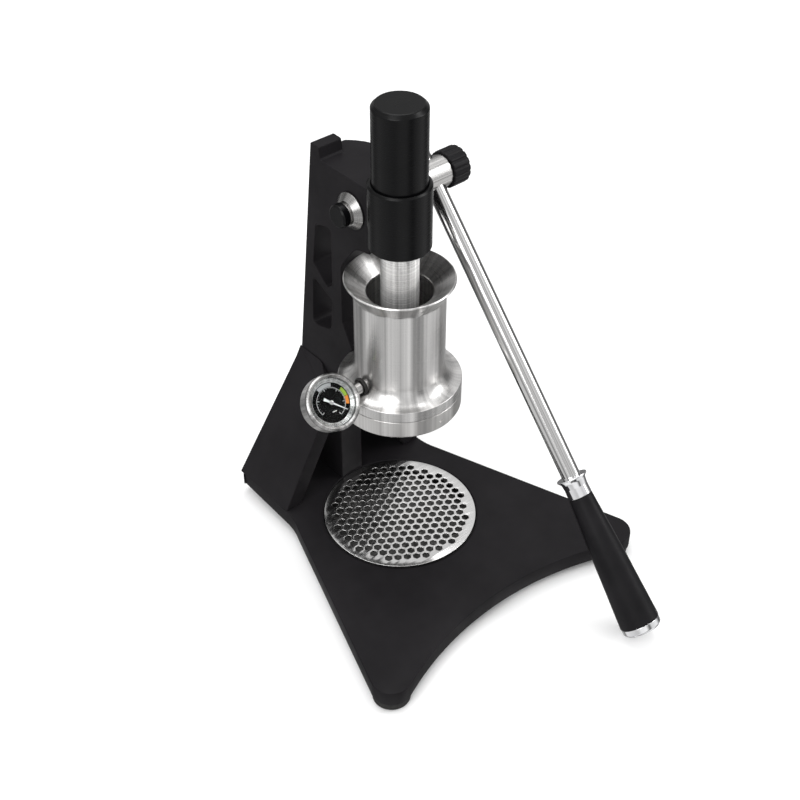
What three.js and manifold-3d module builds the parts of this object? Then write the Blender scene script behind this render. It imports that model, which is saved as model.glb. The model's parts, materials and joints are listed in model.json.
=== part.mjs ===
// Manual lever espresso press with a rack and pinion, in millimetres, +Z up.
// Built about the ram's axis, with Z = 0 on the floor, then centred on its own box.
// -Y is the front, where the lever comes down. +X is the lever's side.
import * as THREE from 'three';
import { mergeVertices } from 'three/addons/utils/BufferGeometryUtils.js';
import Module from 'manifold-3d';

const wasm = await Module();
wasm.setup();

// ---------- driving dimensions ----------
const GAP = 0.3;                 // clearance between pieces that touch
const FOOT_H = 7;                // rubber feet
const BASE_T = 12;               // base plate
const TOP = FOOT_H + BASE_T;     // height of the base plate's top face
const GRILLE_R = 55;
const GRILLE_T = 1.5;
const HOLE_PITCH = 6.6;          // hexagonal holes in the grille
const HOLE_R = 2.85;
const HOLE_ROW_TURN = 26;        // degrees from +X
const PAN_R = 54.9;

const PLATE_HALF = 9.35;         // half the column plate's thickness
const REAR_FOOT_Y = 110;         // rear plane at the base, which leans forward going up
const REAR_LEAN = 0.124;
const COLUMN_FRONT_Y = 49;
const WEB_FRONT_Y = 52.8;
const ARM_TOP = 283;
const LIP_TOP = 291.8;
const WING_FOOT_X = 63;          // outer bottom edge of a wing
const WING_TOP_Z = TOP + 100;
const WING_RUN = 53.5;           // sideways reach of a wing's outer face
const WING_T = 12;

const RING_R = 41.5;             // lock ring and chamber flange
const RING_Z = [126, 138.6];
const FLANGE_Z = [138.9, 146.6];
const LUG_SCREWS = { y: [45.5, 53.5], z: 142.7 };   // they hold the chamber's lug in the column
const BODY_R = 30;
const BORE_R = 21.7;
const BORE_TOP = 215.1;
const RIM_R = 36.3;
const RIM_Z = 225.6;

const HOUSING_R = 20.2;
const HEAD_BORE = 16.95;         // inside the guide housing
const HOUSING_Z = [249.5, 294];
const CAP_R = 17.45;
const CAP_BORE = HEAD_BORE - 0.1;
const CAP_TOP = 346.8;
const RAM_R = 12.5;
const RAM_Z = [179.3, 289];
const PISTON_R = 21.2;
const PISTON_Z = [168, 185];

const MODULE = 1;                // gear teeth
const TEETH = 40;
const PITCH_R = MODULE * TEETH / 2;
const PINION = { y: 35.4, z: 261 };
const SHAFT_R = 7;
const RACK_SLOT = [-4.2, 4.2];   // room for the rack and gear, across X
const ROD_X = 56;
const ROD_R = 6.4;
const LEVER_DOWN = THREE.MathUtils.degToRad(48.5);
const ROD_ENDS = [-18, 300];     // distances along the rod from the pinion's axis
const HUB_R = 11;
const HUB_X = [37, 66.5];
const KNOB_R = 13;
const KNOB_X = [66.8, 81];

const GAUGE = { x: -59.9, y: -5.5, z: 158.2, tilt: 42, lean: -5, r: 19, depth: 14 };
const STEM = { y: 0.4, z: 152.8, r: 4.2, x: -42.5 };  // x is its end in the case's wall

// ---------- finishes ----------
const FINISH = {
  black: [0x1b1b1d, 0.55, 0.3],
  blackSatin: [0x101012, 0.35, 0.2],
  rubber: [0x141414, 0.9, 0],
  brushed: [0xb9b6b3, 0.32, 1],
  polished: [0xd6d6d6, 0.12, 1],
  chrome: [0xe6e6e8, 0.06, 1],
  grip: [0x1a191c, 0.45, 0],
  bronze: [0x9c7a45, 0.4, 1],
  dial: [0x050505, 0.6, 0],
  pointer: [0xf2f2f2, 0.5, 0],
  glass: [0xe8f0f0, 0.05, 0],
};

// ---------- solids ----------
function solid(geometry) {
  const bare = geometry.clone();
  bare.deleteAttribute('normal');
  bare.deleteAttribute('uv');
  const merged = mergeVertices(bare, 1e-4);
  const points = merged.attributes.position.array;
  const used = [];
  let volume = 0;
  for (let i = 0; i < merged.index.count; i += 3) {
    const [a, b, c] = [0, 1, 2].map((k) => merged.index.getX(i + k));
    if (a === b || b === c || c === a) continue;
    const [p, q, r] = [a, b, c].map((k) => new THREE.Vector3().fromArray(points, 3 * k));
    volume += p.dot(q.cross(r));
    used.push(a, b, c);
  }
  if (volume < 0) used.reverse();
  return new wasm.Manifold(new wasm.Mesh({
    numProp: 3,
    vertProperties: Float32Array.from(points),
    triVerts: Uint32Array.from(used),
  }));
}

function surface(body) {
  const mesh = body.getMesh();
  const geometry = new THREE.BufferGeometry();
  geometry.setAttribute('position', new THREE.BufferAttribute(mesh.vertProperties, 3));
  geometry.setIndex(new THREE.BufferAttribute(mesh.triVerts, 1));
  geometry.computeVertexNormals();
  return geometry;
}

const cut = (body, ...tools) => tools.reduce((left, tool) => left.subtract(tool), body);
const join = (body, ...more) => more.reduce((all, one) => all.add(one), body);

function box([x0, x1], [y0, y1], [z0, z1]) {
  const geometry = new THREE.BoxGeometry(x1 - x0, y1 - y0, z1 - z0);
  return solid(geometry.translate((x0 + x1) / 2, (y0 + y1) / 2, (z0 + z1) / 2));
}

// A turned piece about Z. The outline is [radius, height] pairs.
function turned(outline, sides = 32) {
  const points = outline.map(([r, z]) => new THREE.Vector2(r, z));
  return solid(new THREE.LatheGeometry(points, sides).rotateX(Math.PI / 2));
}

const rod = (r, [z0, z1], sides = 20) => turned([[0, z0], [r, z0], [r, z1], [0, z1]], sides);
const tube = (inner, outer, [z0, z1], sides = 32) =>
  turned([[inner, z0], [outer, z0], [outer, z1], [inner, z1], [inner, z0]], sides);

const place = (body, matrix) => body.transform(matrix.elements);
const moved = (body, x, y, z) => place(body, new THREE.Matrix4().makeTranslation(x, y, z));

// Z becomes X, X becomes Y and Y becomes Z: side outlines in (Y, Z) run along X.
const ALONG_X = new THREE.Matrix4().makeBasis(
  new THREE.Vector3(0, 1, 0), new THREE.Vector3(0, 0, 1), new THREE.Vector3(1, 0, 0));
const ALONG_Y = new THREE.Matrix4().makeRotationX(-Math.PI / 2);
const alongX = (body, y, z) => moved(place(body, ALONG_X), 0, y, z);
const alongY = (body, x, z) => moved(place(body, ALONG_Y), x, 0, z);

function extruded(shape, [z0, z1], curveSegments = 4) {
  const geometry = new THREE.ExtrudeGeometry(shape, { depth: z1 - z0, bevelEnabled: false, curveSegments });
  return solid(geometry.translate(0, 0, z0));
}

// A polygon whose corners are rounded: each entry is [x, y, radius].
function rounded(corners) {
  const shape = new THREE.Shape();
  corners.forEach(([x, y, r = 0], i) => {
    const here = new THREE.Vector2(x, y);
    const before = new THREE.Vector2(...corners.at(i - 1));
    const after = new THREE.Vector2(...corners[(i + 1) % corners.length]);
    const back = before.clone().sub(here).normalize();
    const on = after.clone().sub(here).normalize();
    const reach = r / Math.tan(Math.acos(THREE.MathUtils.clamp(back.dot(on), -1, 1)) / 2);
    const start = here.clone().addScaledVector(back, reach);
    const end = here.clone().addScaledVector(on, reach);
    if (i === 0) shape.moveTo(start.x, start.y);
    else shape.lineTo(start.x, start.y);
    if (r > 0) shape.quadraticCurveTo(here.x, here.y, end.x, end.y);
  });
  return shape;
}

const rearY = (z) => REAR_FOOT_Y - REAR_LEAN * (z - TOP);

// ---------- the list of pieces ----------
const machine = new THREE.Group();

function add(name, body, finish, parent = machine) {
  const [color, roughness, metalness] = FINISH[finish];
  const material = new THREE.MeshStandardMaterial({ color, roughness, metalness });
  const mesh = new THREE.Mesh(surface(body), material);
  mesh.name = name;
  parent.add(mesh);
}

// ---------- base: plate, feet, pan, grille ----------
const FRONT_FOOT = { x: 102.9, y: -112.2, r: 13.75 };
const REAR_FOOT = { x: 43, y: 97 };

function basePlate() {
  const waist = 63.3;
  const { x: footX, y: footY, r: footR } = FRONT_FOOT;
  const flare = THREE.MathUtils.degToRad(19);
  // one hollow arc across the front, tangent to both rounded feet
  const frontR = 237;
  const frontY = footY - Math.sqrt((frontR + footR) ** 2 - footX ** 2);
  const meet = Math.atan2(footY - frontY, footX);
  const outline = new THREE.Shape();
  outline.moveTo(-60, REAR_FOOT_Y);
  outline.lineTo(60, REAR_FOOT_Y);
  outline.lineTo(WING_FOOT_X, REAR_FOOT_Y - 3);
  outline.lineTo(WING_FOOT_X, WEB_FRONT_Y);
  outline.quadraticCurveTo(waist, 43, 66.7, 35);
  outline.absarc(footX, footY, footR, flare, meet - Math.PI, true);
  outline.absarc(0, frontY, frontR, meet, Math.PI - meet, false);
  outline.absarc(-footX, footY, footR, -meet, Math.PI - flare, true);
  outline.lineTo(-66.7, 35);
  outline.quadraticCurveTo(-waist, 43, -WING_FOOT_X, WEB_FRONT_Y);
  outline.lineTo(-WING_FOOT_X, REAR_FOOT_Y - 3);
  return cut(
    extruded(outline, [FOOT_H, TOP], 8),
    rod(GRILLE_R + 0.5, [FOOT_H + 2, TOP + 1], 48),
    ...screwPlaces().map(([x, y]) => moved(rod(4.6, [FOOT_H - 1, FOOT_H + 5], 12), x, y, 0)),
    ...screwPlaces().map(([x, y]) => moved(rod(2.8, [FOOT_H, TOP + 1], 8), x, y, 0)),
  );
}

function screwPlaces() {
  return [[-56, 66], [-56, 94], [0, 64], [0, 92], [56, 66], [56, 94]];
}

const screw = (head, shank, length) => join(
  cut(rod(head, [0, head], 12), extruded(hexagon(head * 0.55), [-1, head * 0.5])),
  rod(shank, [head - 0.1, head + length], 8));

function hexagon(r, x = 0, y = 0, turn = 0) {
  const corners = Array.from({ length: 6 }, (_, k) => turn + k * Math.PI / 3);
  return new THREE.Shape(corners.map((a) => new THREE.Vector2(x + r * Math.cos(a), y + r * Math.sin(a))));
}

function grille() {
  const disc = new THREE.Shape().absarc(0, 0, GRILLE_R - 0.2, 0, 2 * Math.PI);
  const turn = THREE.MathUtils.degToRad(HOLE_ROW_TURN);
  const reach = Math.ceil(GRILLE_R / HOLE_PITCH) + 4;
  for (let row = -reach; row <= reach; row += 1) {
    for (let column = -reach; column <= reach; column += 1) {
      const u = HOLE_PITCH * (column + row / 2);
      const v = HOLE_PITCH * row * Math.sqrt(3) / 2;
      const x = u * Math.cos(turn) - v * Math.sin(turn);
      const y = u * Math.sin(turn) + v * Math.cos(turn);
      if (Math.hypot(x, y) < GRILLE_R - 5.4) disc.holes.push(hexagon(HOLE_R, x, y, turn + Math.PI / 6));
    }
  }
  return extruded(disc, [TOP - GRILLE_T, TOP], 24);
}

add('base_plate', basePlate(), 'black');
for (const [name, x, y, r] of [
  ['foot_front_left', -FRONT_FOOT.x, FRONT_FOOT.y, 12.6],
  ['foot_front_right', FRONT_FOOT.x, FRONT_FOOT.y, 12.6],
  ['foot_rear_left', -REAR_FOOT.x, REAR_FOOT.y, 8.5],
  ['foot_rear_right', REAR_FOOT.x, REAR_FOOT.y, 8.5],
]) {
  const pad = turned([[0, 0], [r - 1, 0], [r, 1.2], [r, FOOT_H - GAP], [0, FOOT_H - GAP]], 20);
  add(name, moved(pad, x, y, 0), 'rubber');
}
screwPlaces().forEach(([x, y], i) => {
  add(`base_screw_${i + 1}`, moved(screw(4.2, 2.5, 13.4), x, y, FOOT_H + 0.5), 'blackSatin');
});
add('drip_pan', turned([
  [0, TOP - 9.7], [PAN_R, TOP - 9.7], [PAN_R, TOP - 1.8], [PAN_R - 1.2, TOP - 1.8],
  [PAN_R - 1.2, TOP - 8.7], [0, TOP - 8.7],
], 48), 'brushed');
add('grille', grille(), 'polished');

// ---------- frame: column with its arm, and two wings ----------
function column() {
  const side = rounded([
    [WEB_FRONT_Y, TOP + GAP], [rearY(TOP), TOP + GAP], [rearY(LIP_TOP), LIP_TOP, 1], [68, LIP_TOP, 1.5],
    [66.5, ARM_TOP, 2], [14, ARM_TOP], [14, 237], [33, 233, 14], [COLUMN_FRONT_Y, 212, 18],
    [COLUMN_FRONT_Y, 166, 4], [40, 148.6, 2], [36, 140], [36, 139.5], [WEB_FRONT_Y, 128, 6],
  ]);
  const lower = rounded([[62, 152.5, 5], [82.5, 146.6, 5], [79.8, 187.6, 3], [59.6, 178.5, 3]]);
  const upper = rounded([
    [58.8, 191.5, 4], [64.5, 186.5, 3], [79, 199.5, 3], [74.6, 231.5, 4], [58.3, 237, 4],
  ]);
  const wide = [-PLATE_HALF - 1, PLATE_HALF + 1];
  const gearCase = moved(rod(34.6, [238, ARM_TOP], 36), -2.2, 50, 0)
    .intersect(place(extruded(side, [0, 60]), ALONG_X));
  const seat = alongX(rod(15, [5, 33], 24), PINION.y, PINION.z);
  return cut(
    join(place(extruded(side, [-PLATE_HALF, PLATE_HALF]), ALONG_X), gearCase, seat),
    place(extruded(lower, wide), ALONG_X),
    place(extruded(upper, wide), ALONG_X),
    rod(HOUSING_R + GAP + 0.1, [230, 300], 36),
    rod(RING_R + GAP + 0.1, [120, FLANGE_Z[1] + GAP], 48),
    rod(BODY_R + 4, [FLANGE_Z[1], 230], 36),
    rod(PAN_R + 0.7, [TOP - 1, 126], 64),         // hollow front, so that the pan lifts out
    alongX(rod(PITCH_R + 1.25, RACK_SLOT, 48), PINION.y, PINION.z),
    box(RACK_SLOT, [10, PINION.y], [241, 281]),
    alongX(rod(9.3, [-12, -4], 24), PINION.y, PINION.z),
    alongX(rod(9.3, [4, 40], 24), PINION.y, PINION.z),
    box([-5.3, 5.3], [30, 58.3], [139.2, 146.3]),
    ...LUG_SCREWS.y.map((y) => alongX(rod(2, [-7.6, 20], 8), y, LUG_SCREWS.z)),
    ...LUG_SCREWS.y.map((y) => alongX(rod(3.7, [6, 20], 10), y, LUG_SCREWS.z)),
    ...screwPlaces().slice(2, 4).map(([x, y]) => moved(rod(2.9, [TOP - 1, TOP + 7], 8), x, y, 0)),
  );
}

// A wing leans from the base's edge up to the column's side.
function wing(side) {
  const inner = PLATE_HALF + GAP;
  const slope = 100 / WING_RUN;
  const topX = inner;
  const topZ = TOP + slope * (WING_FOOT_X - topX);
  const drop = WING_T * Math.hypot(1, slope);
  const section = new THREE.Shape([
    [WING_FOOT_X, TOP + GAP], [topX, topZ], [topX, topZ - drop], [WING_FOOT_X - drop / slope, TOP + GAP],
  ].map(([x, z]) => new THREE.Vector2(side * x, z)));
  const upright = new THREE.Matrix4().makeRotationX(Math.PI / 2);
  const blank = moved(place(extruded(section, [40, 120]), upright), 0, 160, 0);
  const outline = rounded([
    [WEB_FRONT_Y, 0], [rearY(0), 0], [rearY(WING_TOP_Z), WING_TOP_Z + 1, 1.5], [76, WING_TOP_Z + 1, 12],
    [WEB_FRONT_Y, 97, 14],
  ]);
  return cut(
    blank.intersect(place(extruded(outline, [-70, 70], 5), ALONG_X)),
    ...screwPlaces().filter(([x]) => x * side > 0)
      .map(([x, y]) => moved(rod(2.9, [TOP - 1, TOP + 7], 8), x, y, 0)),
  );
}

add('column', column(), 'black');
add('wing_left', wing(-1), 'black');
add('wing_right', wing(1), 'black');

// ---------- head: guide housing, cap, bushings ----------
add('housing', cut(
  turned([
    [HEAD_BORE, HOUSING_Z[0]], [HOUSING_R, HOUSING_Z[0]], [HOUSING_R, HOUSING_Z[1] - 1.2],
    [HOUSING_R - 1.2, HOUSING_Z[1]], [CAP_R + GAP, HOUSING_Z[1]], [CAP_R + GAP, HOUSING_Z[1] - 5],
    [HEAD_BORE, HOUSING_Z[1] - 5], [HEAD_BORE, HOUSING_Z[0]],
  ], 36),
  box(RACK_SLOT, [10, 30], [240, ARM_TOP]),
), 'blackSatin');
add('top_cap', turned([
  [CAP_BORE, HOUSING_Z[1] - 4.7], [CAP_R, HOUSING_Z[1] - 4.7], [CAP_R, CAP_TOP - 2.6],
  [CAP_R - 2.6, CAP_TOP], [0, CAP_TOP], [0, CAP_TOP - 3], [CAP_BORE, CAP_TOP - 3],
  [CAP_BORE, HOUSING_Z[1] - 4.7],
], 36), 'blackSatin');
for (const [name, z0, z1] of [['guide_bushing_lower', 250.5, 266], ['guide_bushing_upper', 275, 288.6]]) {
  const sleeve = tube(RAM_R + 0.25, HEAD_BORE - GAP, [z0, z1], 36);
  add(name, cut(sleeve, box(RACK_SLOT, [0, 30], [240, 300])), 'bronze');
}
add('shaft_bushing_left', alongX(turned([
  [SHAFT_R + 0.2, -14.6], [8.6, -14.6], [12.6, -10.8], [12.6, -9.65], [9, -9.65], [9, -4.6],
  [SHAFT_R + 0.2, -4.6], [SHAFT_R + 0.2, -14.6],
], 24), PINION.y, PINION.z), 'brushed');
add('shaft_bushing_right', alongX(turned([
  [SHAFT_R + 0.2, 4.6], [9, 4.6], [9, 33.3], [12, 33.3], [12, 36], [SHAFT_R + 0.2, 36], [SHAFT_R + 0.2, 4.6],
], 24), PINION.y, PINION.z), 'brushed');

// ---------- ram, rack and piston ----------
const TOOTH_PITCH = Math.PI * MODULE;
const PRESSURE = THREE.MathUtils.degToRad(20);
const BACKLASH = 0.24;
const RACK_Y = PINION.y - PITCH_R;

function rack() {
  const tip = RACK_Y + 0.95 * MODULE;
  const root = RACK_Y - 1.25 * MODULE;
  const half = TOOTH_PITCH / 4 - BACKLASH / 4;
  const atTip = half - (tip - RACK_Y) * Math.tan(PRESSURE);
  const atRoot = half + (RACK_Y - root) * Math.tan(PRESSURE);
  const first = PINION.z - 15.5 * TOOTH_PITCH;
  const count = 18;
  const low = first - TOOTH_PITCH / 2;
  const high = low + count * TOOTH_PITCH;
  const points = [[9.3, low - 10], [14, low - 10], [14, low], [root, low]];
  for (let k = 0; k < count; k += 1) {
    const z = first + k * TOOTH_PITCH;
    points.push([root, z - atRoot], [tip, z - atTip], [tip, z + atTip], [root, z + atRoot]);
  }
  points.push([root, high], [14, high], [14, high + 10], [9.3, high + 10]);
  const shape = new THREE.Shape(points.map(([y, z]) => new THREE.Vector2(y, z)));
  const screws = [low - 5, high + 5];
  return {
    screws,
    body: cut(place(extruded(shape, [-2.6, 2.6]), ALONG_X),
      ...screws.map((z) => alongY(rod(1.8, [5, 20], 8), 0, z)),
      ...screws.map((z) => alongY(rod(2.4, [12.3, 20], 10), 0, z))),
  };
}

const RACK = rack();
add('ram', cut(
  turned([
    [0, RAM_Z[0]], [RAM_R, RAM_Z[0]], [RAM_R, RAM_Z[1] - 1], [RAM_R - 1, RAM_Z[1]], [0, RAM_Z[1]],
  ], 36),
  rod(4.3, [RAM_Z[0] - 1, RAM_Z[0] + 17], 12),
  box([-13, 13], [9, 13], [RACK.screws[0] - 5.3, RACK.screws[1] + 5.3]),
  ...RACK.screws.map((z) => alongY(rod(1.8, [2, 20], 8), 0, z)),
), 'polished');
add('rack', RACK.body, 'blackSatin');
RACK.screws.forEach((z, i) => {
  const body = join(rod(2.1, [12.5, 14], 12), rod(1.4, [3, 12.7], 8));
  add(['rack_screw_lower', 'rack_screw_upper'][i], alongY(body, 0, z), 'blackSatin');
});
const SEAL_Z = [5.2, 11.4].map((h) => PISTON_Z[0] + h);
add('piston', cut(
  rod(PISTON_R, PISTON_Z, 32),
  rod(RAM_R + GAP, [RAM_Z[0] - GAP, PISTON_Z[1] + 1], 32),
  rod(7, [PISTON_Z[0] - 1, PISTON_Z[0] + 5.3], 16),
  rod(4.3, PISTON_Z, 12),
  ...SEAL_Z.map((z) => tube(18.6, 25, [z - 1.4, z + 1.4], 32)),
), 'grip');
SEAL_Z.forEach((z, i) => {
  const ring = turned([[18.9, z], [20.2, z - 1.1], [21.4, z], [20.2, z + 1.1], [18.9, z]], 32);
  add(['piston_seal_lower', 'piston_seal_upper'][i], ring, 'rubber');
});
add('piston_bolt', moved(screw(6.3, 4, 15), 0, 0, PISTON_Z[0] - 1.2), 'polished');

// ---------- pinion, shaft, hub and clamp knob ----------
function gear() {
  const base = PITCH_R * Math.cos(PRESSURE);
  const tip = PITCH_R + 0.95 * MODULE;
  const root = PITCH_R - 1.25 * MODULE;
  const involute = (r) => {
    const a = Math.acos(Math.min(1, base / r));
    return Math.tan(a) - a;
  };
  const atPitch = Math.PI / (2 * TEETH) - BACKLASH / (4 * PITCH_R);
  const half = (r) => atPitch + involute(PITCH_R) - involute(Math.max(r, base));
  const flank = [root, PITCH_R - 0.4 * MODULE, tip];
  const points = [];
  for (let k = 0; k < TEETH; k += 1) {
    const middle = Math.PI + 2 * Math.PI * k / TEETH;
    flank.forEach((r) => points.push([r, middle - half(r)]));
    [...flank].reverse().forEach((r) => points.push([r, middle + half(r)]));
  }
  const shape = new THREE.Shape(points.map(([r, a]) => new THREE.Vector2(r * Math.cos(a), r * Math.sin(a))));
  shape.holes.push(new THREE.Path().absarc(0, 0, SHAFT_R + 0.2, 0, 2 * Math.PI));
  return alongX(extruded(shape, [-3.5, 3.5], 12), PINION.y, PINION.z);
}

// A rod's own frame: +Z points from the grip to the hub, and the origin is on the pinion's axis.
const ROD_FRAME = new THREE.Matrix4().makeRotationX(LEVER_DOWN - Math.PI / 2)
  .setPosition(ROD_X, PINION.y, PINION.z);
const onRod = (body) => place(body, ROD_FRAME);

add('pinion_gear', gear(), 'blackSatin');
add('pinion_shaft', alongX(rod(SHAFT_R, [-18, 48.6], 24), PINION.y, PINION.z), 'polished');
add('shaft_end_cap', alongX(turned([
  [0, -21.8], [6.8, -21.8], [7.9, -20.7], [7.9, -16.3], [7.3, -16.3], [7.3, -18.3], [0, -18.3],
], 24), PINION.y, PINION.z), 'blackSatin');
add('lever_hub', cut(
  alongX(turned([
    [0, HUB_X[0]], [HUB_R - 0.8, HUB_X[0]], [HUB_R, HUB_X[0] + 0.8], [HUB_R, HUB_X[1]], [0, HUB_X[1]],
  ], 28), PINION.y, PINION.z),
  onRod(rod(ROD_R + 0.2, [-30, 30], 24)),
  alongX(rod(SHAFT_R + 0.2, [30, 49], 24), PINION.y, PINION.z),
  alongX(rod(4.3, [60, 70], 12), PINION.y, PINION.z),
), 'polished');
function knob() {
  const flutes = 12;
  const fluteR = KNOB_R + 0.7;
  const flute = (k) => {
    const a = 2 * Math.PI * k / flutes;
    return moved(rod(1.6, [60, 90], 6), fluteR * Math.cos(a), fluteR * Math.sin(a), 0);
  };
  return alongX(cut(
    turned([
      [0, KNOB_X[0]], [KNOB_R - 0.8, KNOB_X[0]], [KNOB_R, KNOB_X[0] + 0.8], [KNOB_R, KNOB_X[1] - 1.2],
      [KNOB_R - 1.2, KNOB_X[1]], [0, KNOB_X[1]],
    ], 24),
    rod(4.3, [60, 77], 12),
    ...Array.from({ length: flutes }, (_, k) => flute(k)),
  ), PINION.y, PINION.z);
}
add('clamp_knob', knob(), 'grip');
add('clamp_screw', alongX(rod(4, [ROD_X + ROD_R + 0.6, 76.7], 12), PINION.y, PINION.z), 'polished');

// ---------- lever: rod, ferrule, grip, end cap ----------
add('lever_rod', onRod(turned([
  [0, -ROD_ENDS[1]], [ROD_R, -ROD_ENDS[1]], [ROD_R, -ROD_ENDS[0] - 2.4], [ROD_R - 2.4, -ROD_ENDS[0]],
  [0, -ROD_ENDS[0]],
], 24)), 'polished');
add('lever_ferrule', onRod(turned([
  [ROD_R + 0.2, -233], [8.3, -233], [8.1, -226], [8.6, -222], [10.6, -219.6], [10.6, -219],
  [ROD_R + 0.2, -219], [ROD_R + 0.2, -233],
], 24)), 'chrome');
add('lever_grip', onRod(turned([
  [0, -328], [13.8, -328], [11.4, -281], [8.2, -233.3], [ROD_R + 0.2, -233.3], [ROD_R + 0.2, -300.3],
  [0, -300.3],
], 28)), 'grip');
add('lever_end_cap', onRod(turned([
  [0, -333.9], [11.6, -333.9], [13.3, -332.2], [13.5, -328.3], [0, -328.3],
], 28)), 'chrome');

// ---------- chamber, screen and lock ring ----------
const GAUGE_BORE_END = -26;
function chamber() {
  const filletSteps = 4;
  const outline = [
    [BORE_R, 150.5], [29, 146.5], [29, FLANGE_Z[0]], [RING_R, FLANGE_Z[0]], [RING_R, FLANGE_Z[1] - 0.5],
  ];
  for (let k = 0; k <= filletSteps; k += 1) {
    const a = Math.PI / 2 * k / filletSteps;
    outline.push([BODY_R + 10.5 * (1 - Math.sin(a)), FLANGE_Z[1] + 9.7 * (1 - Math.cos(a))]);
  }
  outline.push([BODY_R, BORE_TOP - 0.5], [RIM_R, RIM_Z - 0.8], [RIM_R - 0.8, RIM_Z], [BORE_R, BORE_TOP]);
  outline.push([BORE_R, 150.5]);
  const lug = box([-5, 5], [39, 58], [139.5, 146]);
  return cut(
    join(turned(outline, 40), lug),
    ...LUG_SCREWS.y.map((y) => alongX(rod(2, [-6, 6], 8), y, LUG_SCREWS.z)),
    alongX(rod(STEM.r + 0.3, [-45, GAUGE_BORE_END], 16), STEM.y, STEM.z),
    alongX(rod(6.5, [-45, -31], 16), STEM.y, STEM.z),
    alongX(rod(1, [-30, -15], 6), STEM.y, STEM.z),
  );
}
add('chamber', chamber(), 'brushed');
LUG_SCREWS.y.forEach((y, i) => {
  const body = join(rod(3.3, [6.3, 9.2], 12), rod(1.5, [-7.3, 6.4], 8));
  add(`chamber_screw_${i + 1}`, alongX(body, y, LUG_SCREWS.z), 'blackSatin');
});
add('bayonet_collar', tube(35, 38.6, [133, FLANGE_Z[0] - GAP], 40), 'brushed');
add('shower_screen', cut(
  rod(28.6, [140, 141.4], 32),
  ...[8, 17].flatMap((r, ring) => Array.from({ length: 6 * (ring + 1) }, (_, k) => {
    const a = Math.PI * k / (3 * (ring + 1));
    return moved(rod(1, [139, 143], 5), r * Math.cos(a), r * Math.sin(a), 0);
  })),
), 'polished');
add('group_gasket', tube(29.2, 31.8, [132.8, 138.6], 32), 'rubber');
add('basket', turned([
  [0, 116.8], [26, 116.8], [28.6, 119], [29, 131.2], [31.8, 131.2], [31.8, 132.4], [28.3, 132.4],
  [27.9, 119.6], [25.6, 117.6], [0, 117.6],
], 32), 'polished');
add('lock_ring', cut(
  turned([
    [29.7, RING_Z[0]], [RING_R - 0.6, RING_Z[0]], [RING_R, RING_Z[0] + 0.6], [RING_R, RING_Z[1]],
    [39, RING_Z[1]], [39, 132.6], [34.6, 132.6], [34.6, RING_Z[1]], [32.2, RING_Z[1]],
    [32.2, 130.9], [29.7, 130.9], [29.7, RING_Z[0]],
  ], 40),
  // index mark that shows the locked position
  alongY(rod(1.3, [-45, -40.9], 8), 0, 132.3),
), 'brushed');

// ---------- pressure gauge: its frame's +Z is the dial's normal ----------
const gauge = new THREE.Group();
gauge.position.set(GAUGE.x, GAUGE.y, GAUGE.z);
gauge.rotation.set(THREE.MathUtils.degToRad(90 - GAUGE.tilt), 0, THREE.MathUtils.degToRad(GAUGE.lean), 'ZYX');
gauge.updateMatrix();
machine.add(gauge);

const toGauge = gauge.matrix.clone().invert();
const stemBore = place(alongX(rod(STEM.r + 0.3, [STEM.x - 0.3, -30], 16), STEM.y, STEM.z), toGauge);
add('gauge_case', cut(turned([
  [0, -GAUGE.depth], [GAUGE.r - 2, -GAUGE.depth], [GAUGE.r - 0.6, 1.4 - GAUGE.depth], [GAUGE.r - 0.6, -3.3],
  [16.5, -3.3], [16.5, -6], [14.5, -6], [14.5, 1.6 - GAUGE.depth], [0, 1.6 - GAUGE.depth],
], 32), stemBore), 'brushed', gauge);
add('gauge_bezel', turned([
  [16.5, -3], [GAUGE.r, -3], [GAUGE.r, -1.2], [GAUGE.r - 1.5, 0], [15.9, -0.9], [15.9, -1.5],
  [16.5, -1.5], [16.5, -3],
], 32), 'polished', gauge);
add('gauge_glass', rod(16.2, [-2.8, -1.8], 32), 'glass', gauge);
add('gauge_spacer', turned([
  [16.2, -3.1], [16.2, -4.7], [13.1, -4.7], [13.1, -4.4], [15.6, -3.1], [16.2, -3.1],
], 32), 'brushed', gauge);
add('gauge_dial', cut(rod(16.1, [-5.8, -5], 32), rod(0.9, [-7, -4], 8)), 'dial', gauge);
const POINTER_TURN = THREE.MathUtils.degToRad(-43);
const pointer = extruded(new THREE.Shape([
  [-5.6, 0.9], [-5.6, -0.9], [-1.2, -0.5], [1.2, -0.5], [12, -0.15], [12, 0.15], [1.2, 0.5], [-1.2, 0.5],
].map(([x, y]) => new THREE.Vector2(x, y))), [-4.5, -4.2]);
add('gauge_pointer', place(
  join(pointer, rod(1.5, [-4.6, -4], 12), rod(0.6, [-6.4, -4.5], 6)),
  new THREE.Matrix4().makeRotationZ(POINTER_TURN)), 'pointer', gauge);
add('gauge_stem', alongX(rod(STEM.r, [STEM.x, GAUGE_BORE_END - GAP], 16), STEM.y, STEM.z), 'brushed');
add('stem_seal', alongX(turned([
  [4.5, -33.4], [5.3, -34.1], [6.1, -33.4], [6.1, -32], [5.3, -31.4], [4.5, -32], [4.5, -33.4],
], 20), STEM.y, STEM.z), 'rubber');

// ---------- centre the object on its own box, standing on Z = 0 ----------
const bounds = new THREE.Box3().setFromObject(machine);
const middle = bounds.getCenter(new THREE.Vector3());
machine.position.set(-middle.x, -middle.y, -bounds.min.z);

const press = new THREE.Group();
press.add(machine);

export default press;
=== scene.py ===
import json
import math

import bmesh
import bpy
from mathutils import Matrix, Vector
from mathutils.geometry import tessellate_polygon


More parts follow.
